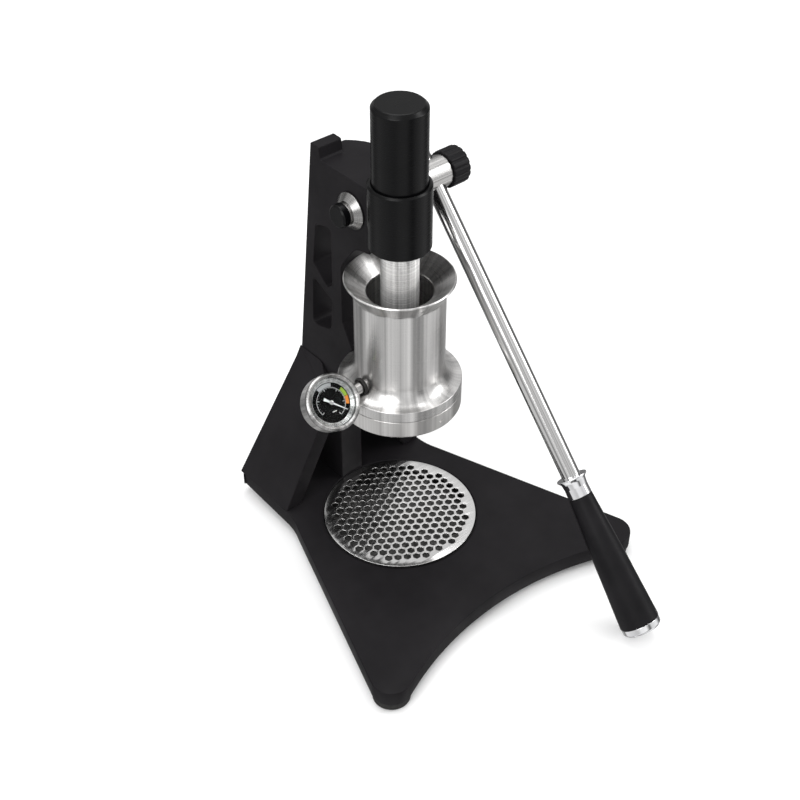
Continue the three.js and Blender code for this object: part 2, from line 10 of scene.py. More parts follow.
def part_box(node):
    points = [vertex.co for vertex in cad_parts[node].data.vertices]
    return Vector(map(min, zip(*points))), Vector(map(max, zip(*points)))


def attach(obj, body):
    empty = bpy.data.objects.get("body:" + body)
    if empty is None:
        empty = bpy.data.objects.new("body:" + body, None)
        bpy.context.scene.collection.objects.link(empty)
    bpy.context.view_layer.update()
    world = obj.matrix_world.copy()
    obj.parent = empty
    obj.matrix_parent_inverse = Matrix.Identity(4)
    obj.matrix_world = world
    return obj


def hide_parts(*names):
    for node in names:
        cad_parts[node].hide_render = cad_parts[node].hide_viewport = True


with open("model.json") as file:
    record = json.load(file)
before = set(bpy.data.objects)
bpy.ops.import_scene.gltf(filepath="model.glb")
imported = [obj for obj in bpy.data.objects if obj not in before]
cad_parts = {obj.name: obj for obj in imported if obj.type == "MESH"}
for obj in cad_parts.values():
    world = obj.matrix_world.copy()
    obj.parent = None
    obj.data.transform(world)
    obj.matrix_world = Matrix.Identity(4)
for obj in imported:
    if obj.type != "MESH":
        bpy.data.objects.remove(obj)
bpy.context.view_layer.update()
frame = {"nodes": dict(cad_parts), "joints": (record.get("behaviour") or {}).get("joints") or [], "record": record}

NODES = frame["nodes"]
JOINTS = {joint["name"]: joint for joint in frame["joints"]}
BODY_OF = {n: b for b, ns in frame["record"]["behaviour"]["bodies"].items() for n in ns}
SLOT_OF = {part["node"]: part["material_slot"] for part in frame["record"]["subparts"]}
MM = 0.001
SHARP = math.radians(38)   # edges sharper than this are not shaded smooth
LOCAL = "local_mm"   # each piece's own frame, so that a pattern follows its turning axis


# ---------- places, read from the CAD frame ----------
def middle(node):
    low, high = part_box(node)
    return (low + high) / 2


def heights(node):
    low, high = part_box(node)
    return low.z / MM, high.z / MM


def spread(node, axis=0):
    low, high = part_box(node)
    return (high[axis] - low[axis]) / MM


def frame_at(origin, z_axis, x_axis):
    z = Vector(z_axis).normalized()
    x = Vector(x_axis).normalized()
    y = z.cross(x)
    turn = Matrix((x, y, z)).transposed().to_4x4()
    return Matrix.Translation(origin) @ turn @ Matrix.Scale(MM, 4)


AXIS = middle("top_cap")
PIN = Vector(JOINTS["lever_turn"]["pos_m"])
PRESS = frame_at((AXIS.x, AXIS.y, 0), (0, 0, 1), (1, 0, 0))
SHAFT = frame_at((0, PIN.y, PIN.z), (1, 0, 0), (0, 1, 0))
ROD = frame_at((middle("lever_rod").x, PIN.y, PIN.z), JOINTS["rod_adjust"]["axis"], (1, 0, 0))
DIAL_NORMAL = Vector(JOINTS["pointer_turn"]["axis"]).normalized()
GAUGE = frame_at(JOINTS["pointer_turn"]["pos_m"], DIAL_NORMAL, Vector((0, 0, -1)).cross(DIAL_NORMAL) * -1)
STEM = frame_at((0, middle("gauge_stem").y, middle("gauge_stem").z), (1, 0, 0), (0, 1, 0))
INDEX = frame_at((AXIS.x, AXIS.y, 132.3 * MM), (0, -1, 0), (1, 0, 0))


# ---------- procedural materials ----------
class Paint:
    """A Principled material, with helpers for the patterns that drive it."""

    def __init__(self, name, colour, rough, metal=0.0, local=False, **sockets):
        self.mat = bpy.data.materials.new(name)
        self.mat.use_nodes = True
        self.tree = self.mat.node_tree
        self.bsdf = self.tree.nodes["Principled BSDF"]
        self.set("Base Color", (*colour, 1))
        self.set("Roughness", rough)
        self.set("Metallic", metal)
        for socket, value in sockets.items():
            self.set(socket.replace("_", " "), value)
        if local:
            coords = self.tree.nodes.new("ShaderNodeAttribute")
            coords.attribute_name = LOCAL
            self.place = coords.outputs["Vector"]
        else:
            self.place = self.tree.nodes.new("ShaderNodeTexCoord").outputs["Object"]

    def set(self, socket, value):
        self.bsdf.inputs[socket].default_value = value

    def link(self, a, b):
        self.tree.links.new(a, b)

    def polar(self):
        """Two places for turned work: the direction round the axis, and the distance out and along it."""
        def vector(operation, source):
            node = self.tree.nodes.new("ShaderNodeVectorMath")
            node.operation = operation
            self.link(source, node.inputs[0])
            return node

        parts = self.tree.nodes.new("ShaderNodeSeparateXYZ")
        self.link(self.place, parts.inputs["Vector"])
        flat = self.tree.nodes.new("ShaderNodeCombineXYZ")
        self.link(parts.outputs["X"], flat.inputs["X"])
        self.link(parts.outputs["Y"], flat.inputs["Y"])
        out = self.tree.nodes.new("ShaderNodeCombineXYZ")
        self.link(vector("LENGTH", flat.outputs["Vector"]).outputs["Value"], out.inputs["X"])
        self.link(parts.outputs["Z"], out.inputs["Z"])
        return vector("NORMALIZE", flat.outputs["Vector"]).outputs["Vector"], out.outputs["Vector"]

    def noise(self, scale, stretch=(1, 1, 1), detail=3.0, rough=0.55, place=None):
        mapping = self.tree.nodes.new("ShaderNodeMapping")
        mapping.inputs["Scale"].default_value = stretch
        node = self.tree.nodes.new("ShaderNodeTexNoise")
        node.inputs["Scale"].default_value = scale
        node.inputs["Detail"].default_value = detail
        node.inputs["Roughness"].default_value = rough
        self.link(place or self.place, mapping.inputs["Vector"])
        self.link(mapping.outputs["Vector"], node.inputs["Vector"])
        return node.outputs["Fac"]

    def spread(self, value, low, high, source=(0.3, 0.7)):
        node = self.tree.nodes.new("ShaderNodeMapRange")
        for name, number in zip(("From Min", "From Max", "To Min", "To Max"), (*source, low, high)):
            node.inputs[name].default_value = number
        self.link(value, node.inputs["Value"])
        return node.outputs["Result"]

    def colours(self, value, *stops):
        node = self.tree.nodes.new("ShaderNodeValToRGB")
        ramp = node.color_ramp
        while len(ramp.elements) < len(stops):
            ramp.elements.new(0.5)
        for element, (place, colour) in zip(ramp.elements, stops):
            element.position = place
            element.color = (*colour, 1)
        self.link(value, node.inputs["Fac"])
        self.link(node.outputs["Color"], self.bsdf.inputs["Base Color"])

    def roughness(self, value, low, high):
        self.link(self.spread(value, low, high), self.bsdf.inputs["Roughness"])

    def bump(self, value, depth, strength=1.0, before=None):
        node = self.tree.nodes.new("ShaderNodeBump")
        node.inputs["Distance"].default_value = depth
        node.inputs["Strength"].default_value = strength
        self.link(value, node.inputs["Height"])
        if before is not None:
            self.link(before, node.inputs["Normal"])
        self.link(node.outputs["Normal"], self.bsdf.inputs["Normal"])
        return node.outputs["Normal"]


def black_metal():
    """Blasted and anodised plate: a fine even grain with a faint cloudiness."""
    paint = Paint("black_anodised_plate", (0.012, 0.012, 0.013), 0.45, 0.0, Specular_IOR_Level=0.07)
    paint.colours(paint.noise(26), (0.3, (0.0085, 0.0078, 0.0088)), (0.72, (0.0135, 0.0125, 0.0138)))
    paint.roughness(paint.noise(70), 0.36, 0.5)
    coarse = paint.bump(paint.noise(1500, detail=2), 0.00002, 0.45)
    paint.bump(paint.noise(5200, detail=1), 0.00001, 0.5, coarse)
    return paint.mat


def satin_black():
    """Turned and anodised black: faint rings from the lathe."""
    paint = Paint("black_anodised_turned", (0.002, 0.002, 0.0022), 0.28, local=True, Specular_IOR_Level=0.16)
    paint.colours(paint.noise(0.03), (0.3, (0.0012, 0.0012, 0.0014)), (0.7, (0.0026, 0.0026, 0.003)))
    rings = paint.noise(1.0, (0.05, 0.05, 2.5), 3)
    paint.roughness(rings, 0.22, 0.34)
    paint.bump(rings, 0.000005, 0.12)
    return paint.mat


def turned_steel(name, dark, light, rough, streak=7, axis="Z", aniso=0.7, metal=1.0):
    """Turned stainless steel: fine rings round its axis, and painted reflection streaks across them, dark to light
    round the axis in the base colour.
    """
    paint = Paint(name, light, rough[0], metal, local=True, Anisotropic=aniso, Anisotropic_Rotation=0.25)
    around, out = paint.polar()
    # painted reflection: light and dark streaks round the axis are painted into the base colour
    painted_reflection_streaks = paint.noise(streak, detail=4, rough=0.62, place=around)
    between = tuple((a + b) / 2 for a, b in zip(dark, light))
    paint.colours(painted_reflection_streaks, (0.34, dark), (0.5, between), (0.64, light))
    rings = paint.noise(5, detail=3, rough=0.6, place=out)
    paint.roughness(rings, *rough)
    paint.bump(rings, 0.000006, 0.35)
    if axis:
        tangent = paint.tree.nodes.new("ShaderNodeTangent")
        tangent.direction_type = "RADIAL"
        tangent.axis = axis
        paint.link(tangent.outputs["Tangent"], paint.bsdf.inputs["Tangent"])
    return paint.mat


def polished_steel():
    """Ground and polished stainless steel, with hairlines along its length and faint handling marks."""
    colour = (0.66, 0.655, 0.65)
    paint = Paint("polished_steel", colour, 0.2, 1.0, local=True)
    lines = paint.noise(0.8, (1, 1, 0.006), 3, 0.6)
    paint.colours(lines, (0.32, tuple(0.72 * c for c in colour)), (0.66, colour))
    paint.roughness(paint.noise(0.15, detail=4), 0.16, 0.26)
    paint.bump(lines, 0.000003, 0.3)
    return paint.mat


def flat_steel():
    """Punched sheet: bright and lightly brushed along one direction."""
    paint = Paint("punched_sheet_steel", (0.7, 0.69, 0.68), 0.2, 1.0, local=True)
    lines = paint.noise(1.0, (0.03, 3.0, 1), 3, 0.6)
    paint.colours(lines, (0.3, (0.62, 0.615, 0.61)), (0.7, (0.78, 0.775, 0.77)))
    paint.roughness(lines, 0.14, 0.24)
    paint.bump(lines, 0.000003, 0.3)
    return paint.mat


def fastener_steel():
    """Bright steel for the small hidden parts that keep their own shape."""
    paint = Paint("fastener_steel", (0.6, 0.595, 0.59), 0.25, 1.0)
    paint.colours(paint.noise(450), (0.3, (0.46, 0.455, 0.45)), (0.7, (0.64, 0.635, 0.63)))
    paint.roughness(paint.noise(800), 0.2, 0.34)
    paint.bump(paint.noise(1600), 0.000004, 0.4)
    return paint.mat


def chrome():
    paint = Paint("chrome_plate", (0.87, 0.87, 0.88), 0.05, 1.0)
    paint.colours(paint.noise(90), (0.3, (0.80, 0.80, 0.82)), (0.7, (0.9, 0.9, 0.91)))
    paint.roughness(paint.noise(240, detail=4), 0.03, 0.09)
    return paint.mat


def rubber():
    paint = Paint("black_rubber", (0.014, 0.014, 0.014), 0.75, 0.0, Specular_IOR_Level=0.3)
    paint.colours(paint.noise(300), (0.3, (0.010, 0.010, 0.010)), (0.7, (0.022, 0.021, 0.020)))
    paint.roughness(paint.noise(500), 0.62, 0.85)
    paint.bump(paint.noise(1800, detail=3), 0.00003, 0.6)
    return paint.mat


def grip_plastic():
    """Satin moulded handle: soft grain with slightly shinier worn patches."""
    paint = Paint("satin_grip", (0.012, 0.011, 0.0125), 0.42, 0.0, Specular_IOR_Level=0.1, Coat_Weight=0.03,
                  Coat_Roughness=0.35)
    paint.colours(paint.noise(45), (0.3, (0.0055, 0.0052, 0.006)), (0.7, (0.0095, 0.0088, 0.010)))
    paint.roughness(paint.noise(55, detail=4), 0.32, 0.46)
    paint.bump(paint.noise(2600, detail=2), 0.000018, 0.5)
    return paint.mat


def black_steel():
    paint = Paint("blackened_steel", (0.03, 0.03, 0.033), 0.4, 0.75)
    paint.colours(paint.noise(420), (0.3, (0.018, 0.018, 0.021)), (0.72, (0.055, 0.053, 0.052)))
    paint.roughness(paint.noise(700), 0.3, 0.5)
    paint.bump(paint.noise(1500), 0.00001, 0.5)
    return paint.mat


def bronze():
    paint = Paint("sintered_bronze", (0.42, 0.27, 0.11), 0.38, 1.0)
    paint.colours(paint.noise(900, detail=4), (0.3, (0.25, 0.15, 0.06)), (0.7, (0.50, 0.33, 0.14)))
    paint.roughness(paint.noise(1200), 0.3, 0.55)
    paint.bump(paint.noise(2200), 0.00001, 0.5)
    return paint.mat


def dial_black():
    paint = Paint("dial_black", (0.003, 0.003, 0.003), 0.55, Specular_IOR_Level=0.04)
    paint.colours(paint.noise(900), (0.3, (0.0022, 0.0022, 0.0024)), (0.7, (0.0045, 0.0045, 0.0045)))
    paint.roughness(paint.noise(1500), 0.45, 0.65)
    return paint.mat


def print_ink(name, colour):
    paint = Paint(name, colour, 0.5)
    paint.colours(paint.noise(1400), (0.3, tuple(0.86 * c for c in colour)), (0.7, colour))
    paint.roughness(paint.noise(900), 0.42, 0.6)
    return paint.mat


def clear_glass():
    paint = Paint("gauge_glass", (0.97, 0.99, 0.99), 0.02, 0.0, Transmission_Weight=1.0, IOR=1.12,
                  Specular_IOR_Level=0.1)
    paint.roughness(paint.noise(160, detail=4), 0.0, 0.03)
    return paint.mat


SKINS = {
    "black_metal": black_metal(),
    "satin_black": satin_black(),
    "black_steel": black_steel(),
    "rubber": rubber(),
    # the turned steels below carry painted reflection streaks in their colour, from their dark tone to their light
    # tone
    "brushed_steel": turned_steel("brushed_steel", (0.44, 0.435, 0.43), (0.80, 0.79, 0.78), (0.24, 0.36)),
    "polished_steel": polished_steel(),
    "chrome": chrome(),
    "bronze": bronze(),
    "grip_plastic": grip_plastic(),
    "piston_plastic": grip_plastic(),
    "dial_face": dial_black(),
    "pointer_white": print_ink("white_ink", (0.86, 0.86, 0.86)),
    "glass": clear_glass(),
    "ring_steel": turned_steel("brushed_ring_steel", (0.50, 0.49, 0.48), (0.78, 0.77, 0.755), (0.26, 0.38)),
    # painted shade: the drip pan's steel is darkened for the shade under the grille, with painted reflection
    # streaks on top
    "pan_steel": turned_steel("painted_shade_pan_steel", (0.05, 0.05, 0.05), (0.12, 0.118, 0.115), (0.35, 0.5), 4),
    "shaft_steel": turned_steel("turned_bushing_steel", (0.38, 0.375, 0.37), (0.66, 0.65, 0.64),
                                (0.2, 0.32), 9, None, 0.0),
    "gauge_steel": turned_steel("turned_gauge_steel", (0.22, 0.218, 0.215), (0.42, 0.415, 0.41),
                                (0.2, 0.32), 6, None, 0.0),
    # painted reflection: the ram's and rod's lengthwise light and dark stripes are painted in their colour
    "ram_steel": turned_steel("ground_ram_steel", (0.40, 0.398, 0.395), (0.95, 0.945, 0.94), (0.2, 0.3), 4.5,
                              None, 0.0, 0.6),
    "rod_steel": turned_steel("ground_rod_steel", (0.24, 0.238, 0.236), (0.90, 0.895, 0.89), (0.12, 0.2), 3.5,
                              None, 0.0),
    "fastener_steel": fastener_steel(),
    "grille_steel": flat_steel(),
}


# ---------- mesh helpers ----------
def soften(corners, radius=0.25, steps=4, closed=True):
    """Rounds the corners of an outline; a corner may give its own radius as a third number."""
    result = []
    count = len(corners)
    for i, corner in enumerate(corners):
        here = Vector(corner[:2])
        if not closed and i in (0, count - 1):
            result.append(here)
            continue
        before = Vector(corners[i - 1][:2]) - here
        after = Vector(corners[(i + 1) % count][:2]) - here
        r = corner[2] if len(corner) > 2 else radius
        angle = before.angle(after)
        if r <= 0 or angle > math.radians(172):
            result.append(here)
            continue
        reach = min(r / math.tan(angle / 2), 0.46 * before.length, 0.46 * after.length)
        start = here + before.normalized() * reach
        end = here + after.normalized() * reach
        for k in range(steps + 1):
            t = k / steps
            result.append(start * (1 - t) ** 2 + here * 2 * t * (1 - t) + end * t * t)
    return result


def arc(x, y, r, start, end, steps):
    """Points along an arc; angles in radians."""
    turns = [start + (end - start) * k / steps for k in range(steps + 1)]
    return [Vector((x + r * math.cos(a), y + r * math.sin(a))) for a in turns]


def circle(x, y, r, sides=64):
    return arc(x, y, r, 0, 2 * math.pi * (1 - 1 / sides), sides - 1)


def bend(start, control, end, steps=8):
    a, b, c = Vector(start), Vector(control), Vector(end)
    return [a * (1 - t) ** 2 + b * 2 * t * (1 - t) + c * t * t for t in (k / steps for k in range(steps + 1))]


def area(loop):
    return sum(a.x * b.y - b.x * a.y for a, b in zip(loop, loop[1:] + loop[:1])) / 2


def clean(loop, nearest=1e-3):
    kept = [p for p, q in zip(loop, loop[1:] + loop[:1]) if (p - q).length > nearest]
    return kept


def inset(loop, distance):
    """Moves every side of a loop to its left by a distance."""
    moved = []
    for before, here, after in zip(loop[-1:] + loop[:-1], loop, loop[1:] + loop[:1]):
        a = (here - before).normalized()
        b = (after - here).normalized()
        left = Vector((-a.y - b.y, a.x + b.x))
        left.normalize()
        scale = distance / max(0.35, left.dot(Vector((-a.y, a.x))))
        moved.append(here + left * scale)
    return moved


def finish(name, bm, place, node, skin=None, hides=()):
    """Turns a bmesh in local millimetres into a piece that rides on its node's body."""
    bmesh.ops.remove_doubles(bm, verts=bm.verts, dist=1e-5)
    bmesh.ops.recalc_face_normals(bm, faces=bm.faces)
    mesh = bpy.data.meshes.new(name)
    bm.to_mesh(mesh)
    bm.free()
    mesh.transform(place)
    piece = bpy.data.objects.new(name, mesh)
    bpy.context.scene.collection.objects.link(piece)
    mark_local(mesh, place)
    mesh.shade_smooth()
    mesh.set_sharp_from_angle(angle=SHARP)
    settle(piece, node, skin, hides)
    return piece


def mark_local(mesh, place):
    """Stores each vertex's place in the piece's own frame, in millimetres."""
    back = place.inverted()
    attribute = mesh.attributes.get(LOCAL) or mesh.attributes.new(LOCAL, "FLOAT_VECTOR", "POINT")
    attribute.data.foreach_set("vector", [c for v in mesh.vertices for c in back @ v.co])


def settle(piece, node, skin, hides):
    slot = SLOT_OF[node]
    piece.data.materials.clear()
    piece.data.materials.append(SKINS[skin or slot])
    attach(piece, BODY_OF[node])
    if hides:
        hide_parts(*hides)


def turned(name, outline, place, node, segments=96, wave=None, skin=None, hides=None, carve=()):
    """A turned piece about the local Z axis. The outline is (radius, height[, corner radius])."""
    closed = outline[0][0] > 0
    points = soften(outline, closed=closed)
    if closed:
        points = clean(points)
    bm = bmesh.new()
    rings = []
    for r, z in points:
        if r < 1e-6:
            rings.append([bm.verts.new((0, 0, z))])
            continue
        ring = []
        for k in range(segments):
            a = 2 * math.pi * k / segments
            q = wave(r, z, a) if wave else r
            ring.append(bm.verts.new((q * math.cos(a), q * math.sin(a), z)))
        rings.append(ring)
    pairs = list(zip(rings, rings[1:])) + ([(rings[-1], rings[0])] if closed else [])
    for low, high in pairs:
        for k in range(segments):
            n = (k + 1) % segments
            if len(low) == 1 and len(high) == 1:
                continue
            if len(low) == 1:
                bm.faces.new((low[0], high[k], high[n]))
            elif len(high) == 1:
                bm.faces.new((low[k], high[0], low[n]))
            else:
                bm.faces.new((low[k], high[k], high[n], low[n]))
    piece = finish(name, bm, place, node, skin, hides=(node,) if hides is None else hides)
    for tool in carve:
        subtract(piece, tool)
    if carve:
        mark_local(piece.data, place)
    weigh(piece)
    return piece


def subtract(piece, tool):
    """Cuts a tool away from a piece and applies the result."""
    modifier = piece.modifiers.new("cut", "BOOLEAN")
    modifier.operation = "DIFFERENCE"
    modifier.solver = "EXACT"
    modifier.object = tool
    bpy.context.view_layer.update()
    result = bpy.data.meshes.new_from_object(piece.evaluated_get(bpy.context.evaluated_depsgraph_get()))
    piece.modifiers.clear()
    piece.data = result
    result.shade_smooth()
    result.set_sharp_from_angle(angle=SHARP)
    bpy.data.objects.remove(tool)


def block(size_x, size_y, size_z, place):
    """A box used only as a cutting tool, from three (low, high) pairs."""
    bm = bmesh.new()
    bmesh.ops.create_cube(bm, size=1)
    low, high = (Vector(pair) for pair in zip(size_x, size_y, size_z))
    bm.transform(Matrix.Translation((low + high) / 2) @ Matrix.Diagonal((*(high - low), 1)))
    return tool_from(bm, place)


def drill(r, low, high, place):
    """A round cutting tool along the local Z axis."""
    bm = bmesh.new()
    bmesh.ops.create_cone(bm, cap_ends=True, segments=48, radius1=r, radius2=r, depth=high - low)
    bm.transform(Matrix.Translation((0, 0, (low + high) / 2)))
    return tool_from(bm, place)


def tool_from(bm, place):
    mesh = bpy.data.meshes.new("tool")
    bm.to_mesh(mesh)
    bm.free()
    mesh.transform(place)
    tool = bpy.data.objects.new("tool", mesh)
    bpy.context.scene.collection.objects.link(tool)
    return tool


def plate(name, outline, low, high, place, node, edge=0.6, through=(), top=(), under=(), skin=None,
          hides=None):
    """A flat plate with rounded edges. Pockets in its top or underside are (loop, floor height)."""
    bm = bmesh.new()

    def oriented(loop, positive):
        loop = clean([Vector(p) for p in loop])
        return loop if (area(loop) > 0) == positive else loop[::-1]

    def ring(loop, z):
        return [bm.verts.new((p.x, p.y, z)) for p in loop]

    def wall(a, b):
        for k in range(len(a)):
            n = (k + 1) % len(a)
            bm.faces.new((a[k], a[n], b[n], b[k]))

    def cap(loops, z, rings):
        flat = [v for r in rings for v in r]
        for triangle in tessellate_polygon([[(p.x, p.y, z) for p in loop] for loop in loops]):
            bm.faces.new([flat[k] for k in triangle])

    steps = 3
    rounding = [(edge * (1 - math.sin(a)), edge * (1 - math.cos(a)))
                for a in (math.pi / 2 * k / steps for k in range(steps + 1))]

    def sides(loop):
        """The upright side of a loop with rounded top and bottom edges; returns its end loops and rings."""
        levels = [(inward, low + up) for inward, up in rounding]
        levels += [(inward, high - up) for inward, up in reversed(rounding)]
        rings = [ring(inset(loop, inward), z) for inward, z in levels]
        for a, b in zip(rings, rings[1:]):
            wall(a, b)
        return inset(loop, edge), rings[0], rings[-1]

    def pocket(loop, floor, face):
        sign = 1 if face > floor else -1
        levels = [(inward, face - sign * up) for inward, up in reversed(rounding)] + [(0, floor)]
        rings = [ring(inset(loop, inward), z) for inward, z in levels]
        for a, b in zip(rings, rings[1:]):
            wall(a, b)
        cap([loop], floor, [rings[-1]])
        return inset(loop, edge), rings[0]

    main = sides(oriented(outline, True))
    top_caps, under_caps = [(main[0], main[2])], [(main[0], main[1])]
    for loop in through:
        end, lower, upper = sides(oriented(loop, False))
        top_caps.append((end, upper))
        under_caps.append((end, lower))
    for loop, floor in top:
        top_caps.append(pocket(oriented(loop, False), floor, high))
    for loop, floor in under:
        under_caps.append(pocket(oriented(loop, False), floor, low))
    cap([c[0] for c in top_caps], high, [c[1] for c in top_caps])
    cap([c[0] for c in under_caps], low, [c[1] for c in under_caps])
    return finish(name, bm, place, node, skin, hides=(node,) if hides is None else hides)


def edged(node, width):
    """A finer copy of a CAD solid: flat faces joined, and its sharp edges rounded."""
    bm = bmesh.new()
    bm.from_mesh(NODES[node].data)
    bm.transform(Matrix.Scale(1 / MM, 4))
    bmesh.ops.remove_doubles(bm, verts=bm.verts, dist=1e-3)
    coplanar = math.radians(0.4)
    bmesh.ops.dissolve_limit(bm, angle_limit=coplanar, verts=bm.verts, edges=bm.edges, delimit=set())
    mesh = bpy.data.meshes.new(f"{node}_edged")
    bm.to_mesh(mesh)
    bm.free()
    piece = bpy.data.objects.new(f"{node}_edged", mesh)
    bpy.context.scene.collection.objects.link(piece)
    modifier = piece.modifiers.new("edges", "BEVEL")
    modifier.limit_method = "ANGLE"
    modifier.angle_limit = math.radians(32)
    modifier.width = width
    modifier.segments = 2
    modifier.use_clamp_overlap = False
    modifier.miter_outer = "MITER_ARC"
    bpy.context.view_layer.update()
    result = bpy.data.meshes.new_from_object(piece.evaluated_get(bpy.context.evaluated_depsgraph_get()))
    piece.modifiers.clear()
    piece.data = result
    result.transform(Matrix.Scale(MM, 4))
    mark_local(result, PRESS)
    result.shade_smooth()
    result.set_sharp_from_angle(angle=SHARP)
    weigh(piece)
    settle(piece, node, None, (node,))
    return piece


def weigh(piece):
    """Keeps flat faces looking flat beside their rounded edges."""
    modifier = piece.modifiers.new("flat_faces", "WEIGHTED_NORMAL")
    modifier.keep_sharp = True


# ---------- base ----------
def base_outline():
    foot = (middle("foot_front_right") - AXIS) / MM
    foot_r = 13.75
    edge_x, rear, front, waist = 63, 110, 52.8, 63.3
    flare = math.radians(19)
    hollow_r = 237
    hollow_y = foot.y - math.sqrt((hollow_r + foot_r) ** 2 - foot.x ** 2)
    meet = math.atan2(foot.y - hollow_y, foot.x)
    right = [Vector((edge_x, front))] + bend((edge_x, front), (waist, 43), (66.7, 35))[1:]
    right += arc(foot.x, foot.y, foot_r, flare, meet - math.pi, 28)
    hollow = arc(0, hollow_y, hollow_r, meet, math.pi - meet, 64)
    left = [Vector((-p.x, p.y)) for p in reversed(right)]
    back = soften([(-edge_x, rear - 3, 1), (-60, rear, 2), (60, rear, 2), (edge_x, rear - 3, 1)], closed=True)
    return right + hollow[1:-1] + left + back


def base():
    low, high = heights("base_plate")
    screws = [(middle(f"base_screw_{i}") - AXIS) / MM for i in range(1, 7)]
    plate("base_plate_body", base_outline(), low, high, PRESS, "base_plate", edge=0.7,
          top=[(circle(0, 0, 55.5, 128), low + 2)],
          under=[(circle(s.x, s.y, 4.6, 32), low + 5) for s in screws])
    for name in ("front_left", "front_right", "rear_left", "rear_right"):
        node = f"foot_{name}"
        at = (middle(node) - AXIS) / MM
        r = spread(node) / 2
        z = heights(node)[1]
        pad = PRESS @ Matrix.Translation((at.x, at.y, 0))
        turned(f"{node}_pad", [(0, 0), (r - 1.6, 0, 0.4), (r, 1.6, 0.8), (r, z, 0.3), (0, z)], pad, node, 64)


def hexagon(x, y, r, turn):
    return [Vector((x + r * math.cos(turn + k * math.pi / 3), y + r * math.sin(turn + k * math.pi / 3)))
            for k in range(6)]


def grille():
    low, high = heights("grille")
    r = spread("grille") / 2
    pitch, hole, turn = 6.6, 2.85, math.radians(26)
    holes = []
    reach = math.ceil(r / pitch) + 4
    for row in range(-reach, reach + 1):
        for column in range(-reach, reach + 1):
            u, v = pitch * (column + row / 2), pitch * row * math.sqrt(3) / 2
            x = u * math.cos(turn) - v * math.sin(turn)
            y = u * math.sin(turn) + v * math.cos(turn)
            if math.hypot(x, y) < r - 5.2:
                corners = [(*p, 0.7) for p in hexagon(x, y, hole, turn + math.pi / 6)]
                holes.append(soften(corners, steps=3))
    plate("drip_grille", circle(0, 0, r, 160), low, high, PRESS, "grille", edge=0.16, through=holes,
          skin="grille_steel")


def drip_pan():
    low, high = heights("drip_pan")
    r = spread("drip_pan") / 2
    turned("drip_pan_tray", [
        (0, low), (r - 1.4, low, 1.2), (r, low + 1.4, 1), (r, high, 0.3), (r - 1.2, high, 0.3),
        (r - 1.2, low + 1.9, 1), (r - 2.2, low + 1, 0.8), (0, low + 1)], PRESS, "drip_pan", 128,
        skin="pan_steel")


# ---------- head, guide and ram ----------
RACK_SLOT = ((-4.2, 4.2), (10, 30))


HOUSING_SLOT_Z = (240, 283)


def head():
    low, high = heights("housing")
    r = spread("housing") / 2
    cap_low, cap_high = heights("top_cap")
    cap_r = spread("top_cap") / 2
    bore, cap_bore, sleeve_r, ram_clear = 16.95, 16.85, 16.65, 12.75
    turned("guide_housing", [
        (bore, low, 0.4), (r, low, 0.8), (r, high - 1.2, 0.5), (r - 1.2, high, 0.5), (cap_r + 0.3, high, 0.3),
        (cap_r + 0.3, high - 5), (bore, high - 5)],
        PRESS, "housing", 128, carve=[block(*RACK_SLOT, HOUSING_SLOT_Z, PRESS)])
    turned("cap_shell", [
        (0, cap_high - 3), (cap_bore, cap_high - 3, 2), (cap_bore, cap_low, 0.2), (cap_r, cap_low, 0.2),
        (cap_r, cap_high - 2.6, 1.4), (cap_r - 2.6, cap_high, 1.6), (0, cap_high)], PRESS, "top_cap", 128)
    for node in ("guide_bushing_lower", "guide_bushing_upper"):
        z0, z1 = heights(node)
        sleeve = [(ram_clear, z0, 0.4), (sleeve_r, z0, 0.3), (sleeve_r, z1, 0.3), (ram_clear, z1, 0.4)]
        turned(f"{node}_sleeve", sleeve, PRESS, node, 96,
               carve=[block(RACK_SLOT[0], (0, 30), (z0 - 1, z1 + 1), PRESS)])


def ram():
    low, high = heights("ram")
    r = spread("ram") / 2
    rack_low, rack_high = heights("rack")
    turned("ram_rod", [(0, low), (r, low, 0.3), (r, high, 1.2), (0, high)], PRESS, "ram", 128,
           skin="ram_steel",
           carve=[block((-13, 13), (9, 13), (rack_low - 0.3, rack_high + 0.3), PRESS)])
    p0, p1 = heights("piston")
    piston_r = spread("piston") / 2
    outline = [(0, p0), (piston_r - 1, p0, 0.3), (piston_r, p0 + 1, 0.3)]
    for seal in (p0 + 5.2, p0 + 11.4):
        outline += [(piston_r, seal - 1.4), (18.6, seal - 1.4), (18.6, seal + 1.4), (piston_r, seal + 1.4)]
    outline += [(piston_r, p1, 0.6), (r + 0.3, p1, 0.3), (r + 0.3, low - 0.3), (0, low - 0.3)]
    turned("piston_body", outline, PRESS, "piston", 96, carve=[drill(7, p0 - 1, p0 + 5.3, PRESS)])
    for node in ("piston_seal_lower", "piston_seal_upper"):
        z = middle(node).z / MM
        ring = [(20.15 + 1.2 * math.cos(a), z + 1.1 * math.sin(a), 0) for a in
                (2 * math.pi * k / 16 for k in range(16))]
        turned(f"{node}_ring", ring, PRESS, node, 96)
    edged("rack", 0.12)


